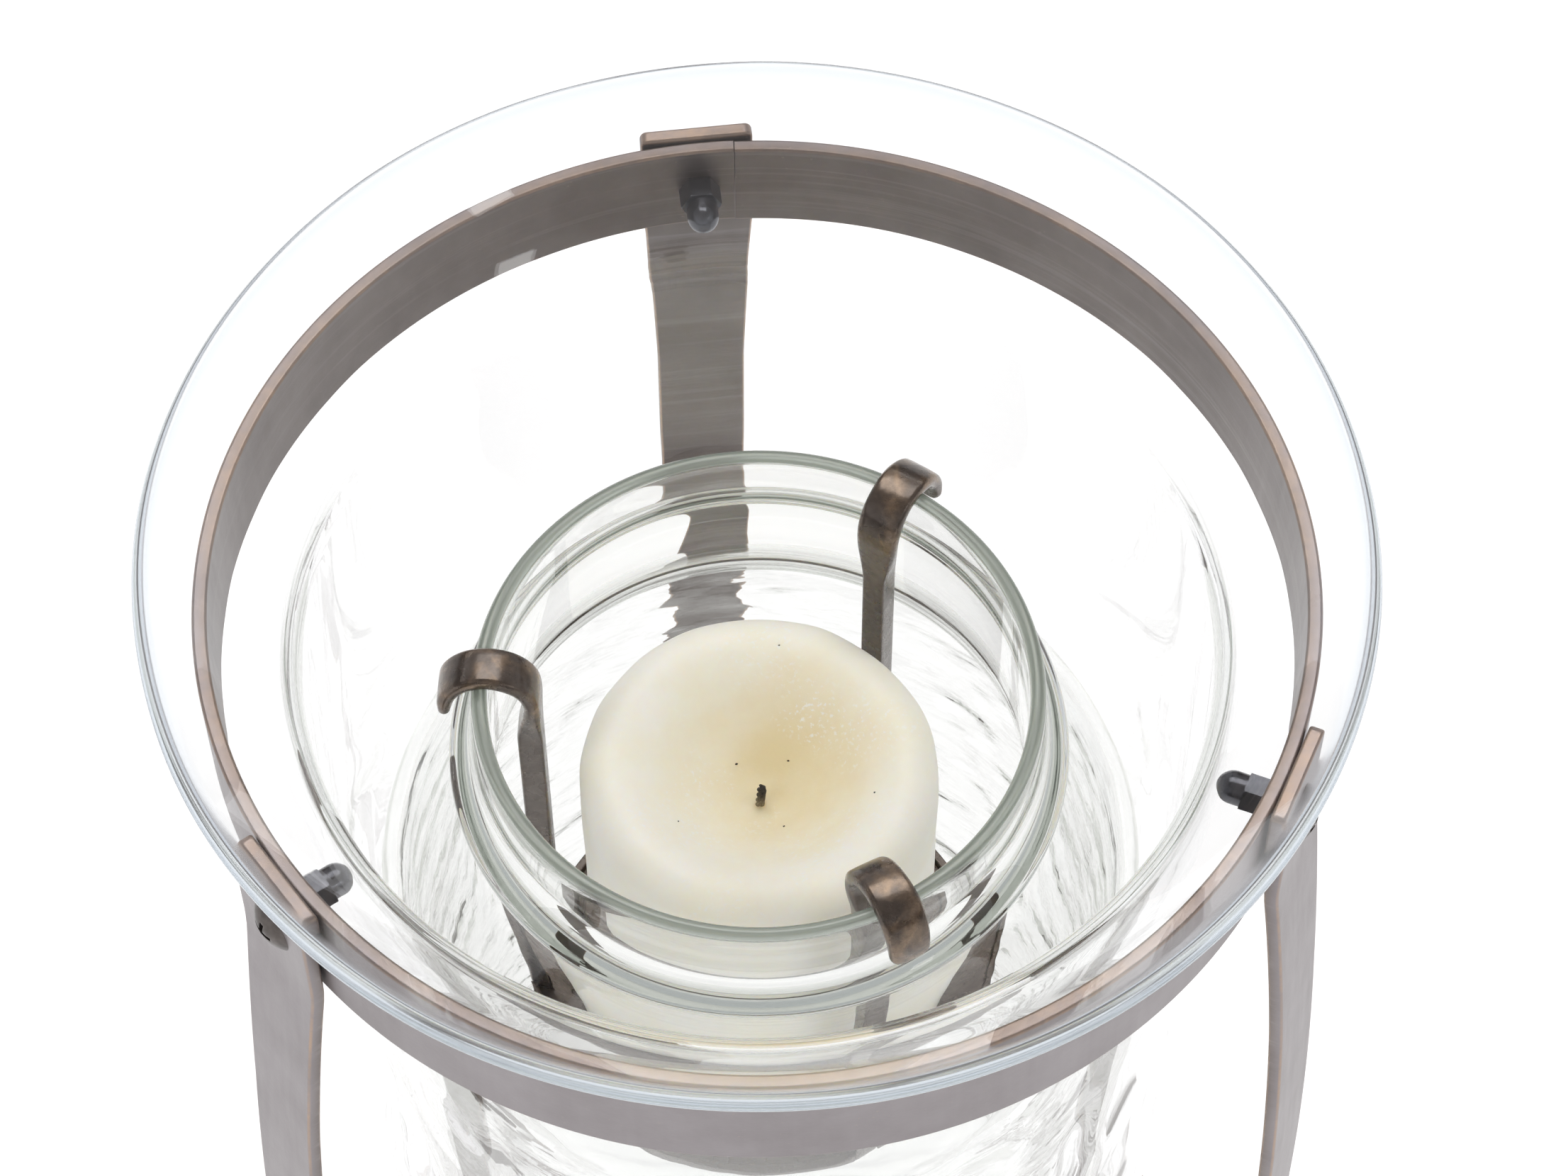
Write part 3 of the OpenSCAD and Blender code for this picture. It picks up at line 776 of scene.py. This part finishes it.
def hanger_piece(name, angle, seed):
    """A forged hanger: square bar below, beaten into a flat ribbon that hooks over the jar's rim."""
    path, centre = hanger_path()
    normals = normals_of(path)
    neck_z = centre[1] - NECK_LEN
    lengths = [0.0]
    for p, q in zip(path, path[1:]):
        lengths.append(lengths[-1] + math.dist(p, q))
    total = lengths[-1]
    points, edges, rubbed = [], [], []
    for (r, z), (nr, nz), at in zip(path, normals, lengths):
        on_hook = 1.0 if r > BAR_IN_R + BAR_T else smooth(z, neck_z, centre[1])
        in_foot = 1 - smooth(at, *FOOT_ENDS)
        left = total - at
        width = mix(mix(BAR_T, HOOK_W, on_hook), FOOT_W, in_foot)
        thick = mix(mix(BAR_T, HOOK_T, on_hook), FOOT_T, in_foot)
        thick *= mix(0.62, 1.0, smooth(left, 0.0, 7.0)) if on_hook > 0.5 else 1.0
        round_end = min(left, at * 2.2)
        tip = width * 0.34
        if round_end < tip:
            width *= max(math.sqrt(max(1 - ((tip - round_end) / tip) ** 2, 0.0)), 0.12)
            thick *= max(math.sqrt(max(1 - ((tip - round_end) / tip) ** 4, 0.0)), 0.25)
        corner = min(mix(0.7, 1.35, on_hook), width / 2 - 0.05, thick / 2 - 0.05)
        arch = 1.0 if r > BAR_IN_R + BAR_T else smooth(z, centre[1] - 4, centre[1] + 4)
        hammer = noise.noise(Vector((at / 9.0, seed, 0))) * 0.30 * arch
        twist = noise.noise(Vector((at / 18, seed + 5, 0))) * 0.45 * arch
        for side, out, edge in rounded_section(width + 2 * hammer, thick - hammer * 0.4, max(corner, 0.05)):
            crown = on_hook * 0.35 * (1 - (2 * side / width) ** 2) if out > 0 else 0.0
            dent = noise.noise(Vector((at / 4.5, side / 3.5, seed + out))) * 0.13 * on_hook
            off = out + crown + dent
            points.append(turned(r + nr * off, side + twist, z + nz * off, angle))
            edges.append(edge)
            # Gold mask: full on the hook's outer, upper face, partly as a painted highlight, and a quarter of
            # that on its inner face
            rubbed.append(on_hook * (1.0 if off > 0 else 0.25))
    around = len(points) // len(path)
    marks = {"edge": edges, "rubbed": rubbed}
    obj = recalculate(make_object(name, points, capped_tube(len(path), around), marks))
    smoother = obj.modifiers.new("smoother", "SUBSURF")
    smoother.levels = smoother.render_levels = 1
    return obj


def build_cradle():
    hangers = zip(("hanger_back", "hanger_left", "hanger_front"), HANGER_ANGLES, (1.7, 6.1, 9.4))
    for node, angle, seed in hangers:
        dress(hanger_piece(node + "_forged", angle, seed), FORGED, "forged_bronze", "cradle", node)
    dress_cad("candle_pan", FORGED, 0.35)
    dress_cad("pan_rivets", SCREWS, 0.0)


# ------------------------------------------------------------------ candle

HOLLOW_DEPTH = 20
# The flame stood a little off the axis: middle of the darker, yellower patch in the hollow, which is partly
# painted shade
HOLLOW_MIDDLE = (6.0, 4.0)
# Side on which the rim of the wax has stayed highest
HIGH_SIDE = 140


def wax_profile():
    """Half section of the wax, with a soft upper edge and a hollow round the wick."""
    low, top = WAX_LOW.z, WAX_HIGH.z
    r, edge, foot_edge = WAX_HIGH.x, 7.0, 2.2
    hollow_r, hollow_z = r - edge, top - HOLLOW_DEPTH
    path = [(0.0, low), (r * 0.5, low), (r - foot_edge, low)]
    path += arc((r - foot_edge, low + foot_edge), foot_edge, -80, -10, 4)
    path += [(r, low + 3), (r, top - edge)]
    path += arc((r - edge, top - edge), edge, 4, 90, 12)
    path += bezier((hollow_r - 0.1, top), (hollow_r * 0.75, top), (hollow_r * 0.45, hollow_z + 1.5),
                   (0.0, hollow_z), 24)
    return resample(path + [(0.0, hollow_z)], 1.6)


def build_candle():
    top = WAX_HIGH.z
    radius = WAX_HIGH.x

    def shape(r, z, angle, row):
        x, y = r * math.cos(angle), r * math.sin(angle)
        high = smooth(z, top - 34, top - 4)
        lump = noise.noise(Vector((x / 16, y / 16, z / 18 + 4.0)))
        lean = 0.9 * math.cos(angle - math.radians(HIGH_SIDE)) * smooth(r, 4, radius) * high
        inside = smooth(radius - r, 6, 20)
        z += (lump * 0.7 - 0.9 + lean) * high * smooth(r, 1.5, 8)
        uneven = noise.noise(Vector((x / 11, y / 11, z / 26))) * 0.45 - 0.35
        r += uneven * smooth(r, 12, radius) * (1 - inside)
        return r, z

    # Mask of the darker, yellower wax at the bottom of the hollow, partly painted shade of the recess
    def hollow(p):
        r = math.hypot(p[0] - HOLLOW_MIDDLE[0], p[1] - HOLLOW_MIDDLE[1])
        return (1 - smooth(r, 4, radius - 8)) * smooth(p[2], top - 26, top - 19)

    body = lathe("candle_wax_body", wax_profile(), 160, shape, {"hollow": hollow})
    dress(recalculate(body), WAX, "ivory_wax", "candle", "candle_wax")
    build_wick()
    build_soot(body)
    dress_cad("wick_tab", TAB, 0.0)


def build_soot(body):
    """A few crumbs of soot that lie on the wax round the wick."""
    corners = [v.co for v in body.data.vertices]
    surface = BVHTree.FromPolygons(corners, [p.vertices for p in body.data.polygons])
    waist = [(0.9, 0, 0.3), (0.28, 0.85, 0.35), (-0.73, 0.53, 0.2), (-0.73, -0.53, 0.3), (0.28, -0.85, 0.2)]
    crumb = [(0, 0, 1), *waist, (0, 0, -0.6)]
    top_sides = [(0, k, k % 5 + 1) for k in range(1, 6)]
    low_sides = [(6, k % 5 + 1, k) for k in range(1, 6)]
    # radius, angle and size of each crumb
    crumbs = ((10, 115, 0.45), (11, 48, 0.4), (9, 300, 0.35), (26, 340, 0.35), (21, 205, 0.3), (30, 75, 0.3))
    points, faces = [], []
    for r, angle, size in crumbs:
        x, y = r * math.cos(math.radians(angle)), r * math.sin(math.radians(angle))
        hit = surface.ray_cast(Vector((x, y, WAX_HIGH.z + 20)) * MM, Vector((0, 0, -1)))[0] / MM
        start = len(points)
        points += [(hit.x + a * size, hit.y + b * size * 0.7, hit.z + c * size * 0.5) for a, b, c in crumb]
        faces += [tuple(start + v for v in face) for face in top_sides + low_sides]
    soot = make_object("soot_crumbs", points, faces, {"burned": [1.0] * len(points)})
    dress(soot, WICK, "charred_wick", "candle")


def build_wick():
    """Braided wick: three twisted strands that lean a little, charred at the tip."""
    low, high = WICK_LOW.z, WICK_HIGH.z
    strand_r, orbit, twists = 0.62, 0.50, 14
    rows, around = 90, 10
    points, burned, faces = [], [], []
    for strand in range(3):
        start = len(points)
        for i in range(rows + 1):
            share = i / rows
            z = mix(low, high, share)
            turn = math.radians(strand * 120 + share * 360 * twists)
            lean = 0.5 * smooth(z, high - 8, high)
            cx, cy = orbit * math.cos(turn) + lean, orbit * math.sin(turn) + lean * 0.4
            size = strand_r * (1 - 0.45 * smooth(z, high - 0.7, high))
            for k in range(around):
                a = 2 * math.pi * k / around
                points.append((cx + size * math.cos(a), cy + size * math.sin(a), z))
                burned.append(smooth(z, high - 6.5, high - 2.0))
        faces += [tuple(start + v for v in face) for face in capped_tube(rows + 1, around)]
    wick = make_object("wick_braided", points, faces, {"burned": burned})
    dress(wick, WICK, "charred_wick", "candle", "wick")


# ------------------------------------------------------------------ studio

# Fitted to the ellipses of the rims: angles in degrees, the distance and the lens in millimetres
CAMERA_TURN = -6.0
CAMERA_ELEVATION = 56.616
CAMERA_DISTANCE = 889.0
CAMERA_LENS = 100.65
AIM_RIGHT = 0.643
AIM_DOWN = 0.599
CAMERA_ROLL = -0.137


def build_camera():
    """A long lens that looks down into the mouth of the lantern, past the centre of the rim."""
    camera = bpy.data.objects.new("camera", bpy.data.cameras.new("camera"))
    bpy.context.scene.collection.objects.link(camera)
    bpy.context.scene.camera = camera
    camera.data.lens = CAMERA_LENS
    camera.data.sensor_width = 36.0
    camera.data.clip_start, camera.data.clip_end = 0.05, 50.0
    elevation = math.radians(CAMERA_ELEVATION)
    place = Vector((0, -CAMERA_DISTANCE * math.cos(elevation), RIM_Z + CAMERA_DISTANCE * math.sin(elevation)))
    yaw, down = math.radians(AIM_RIGHT), math.radians(CAMERA_ELEVATION + AIM_DOWN)
    forward = Vector((math.sin(yaw) * math.cos(down), math.cos(yaw) * math.cos(down), -math.sin(down)))
    right = forward.cross(Vector((0, 0, 1))).normalized()
    up = right.cross(forward)
    roll = math.radians(CAMERA_ROLL)
    right, up = right * math.cos(roll) + up * math.sin(roll), up * math.cos(roll) - right * math.sin(roll)
    axes = Matrix((right, up, -forward)).transposed().to_4x4()
    turn = Matrix.Rotation(math.radians(CAMERA_TURN), 4, "Z")
    camera.matrix_world = turn @ Matrix.Translation(place * MM) @ axes


def area_light(name, place, target, size, power):
    """A soft rectangular light, its place and size in metres, that faces the target."""
    data = bpy.data.lights.new(name, "AREA")
    data.shape = "RECTANGLE"
    data.size, data.size_y = size
    data.energy = power
    obj = bpy.data.objects.new(name, data)
    obj.location = place
    obj.rotation_euler = (Vector(target) - Vector(place)).to_track_quat("-Z", "Y").to_euler()
    bpy.context.scene.collection.objects.link(obj)
    return obj


def build_studio():
    """Plain white floor, a soft box on each side, a broad one overhead, a small key light, a pale room."""
    mesh = bpy.data.meshes.new("floor")
    half = 6.0
    corners = [(-half, -half, 0), (half, -half, 0), (half, half, 0), (-half, half, 0)]
    mesh.from_pydata(corners, [], [(0, 1, 2, 3)])
    floor = bpy.data.objects.new("floor", mesh)
    bpy.context.scene.collection.objects.link(floor)
    s = Shader("floor_white")
    s.set(Base_Color=(0.55, 0.55, 0.55, 1), Roughness=0.9, Specular_IOR_Level=0.2)
    s.set(Emission_Color=(1, 1, 1, 1), Emission_Strength=0.66)
    mesh.materials.append(s.material)
    target = (0, 0, 0.2)
    for name, side, power in (("soft_box_left", -1.5, 14), ("soft_box_right", 1.6, 12)):
        soft = area_light(name, (side, -0.8, 1.7), target, (1.2, 1.4), power)
        soft.visible_glossy = False
        soft.visible_transmission = False
    area_light("overhead", (0.1, 0.9, 2.3), target, (1.8, 1.2), 19)
    area_light("key", (1.25, -1.35, 1.5), target, (0.24, 0.42), 1.0)
    world = bpy.data.worlds.new("room")
    bpy.context.scene.world = world
    world.use_nodes = True
    tree = world.node_tree
    coords = tree.nodes.new("ShaderNodeTexCoord")
    split = tree.nodes.new("ShaderNodeSeparateXYZ")
    ramp = tree.nodes.new("ShaderNodeValToRGB")
    tree.links.new(coords.outputs["Generated"], split.inputs[0])
    tree.links.new(split.outputs["Z"], ramp.inputs["Fac"])
    tree.links.new(ramp.outputs["Color"], tree.nodes["Background"].inputs["Color"])
    ramp.color_ramp.elements[0].color = (0.84, 0.86, 0.90, 1)
    ramp.color_ramp.elements[1].color = (0.30, 0.275, 0.26, 1)
    ramp.color_ramp.elements[1].position = 0.80


def render_style():
    """Plain colours, and enough light bounces for glass inside glass."""
    scene = bpy.context.scene
    scene.view_settings.view_transform = "Standard"
    scene.view_settings.look = "None"
    scene.cycles.max_bounces = 24
    scene.cycles.transmission_bounces = 24
    scene.cycles.transparent_max_bounces = 32
    scene.cycles.glossy_bounces = 8
    scene.cycles.sample_clamp_indirect = 8.0
    scene.cycles.use_denoising = True


build_stand()
build_glasses()
build_cradle()
build_candle()
build_camera()
build_studio()
render_style()
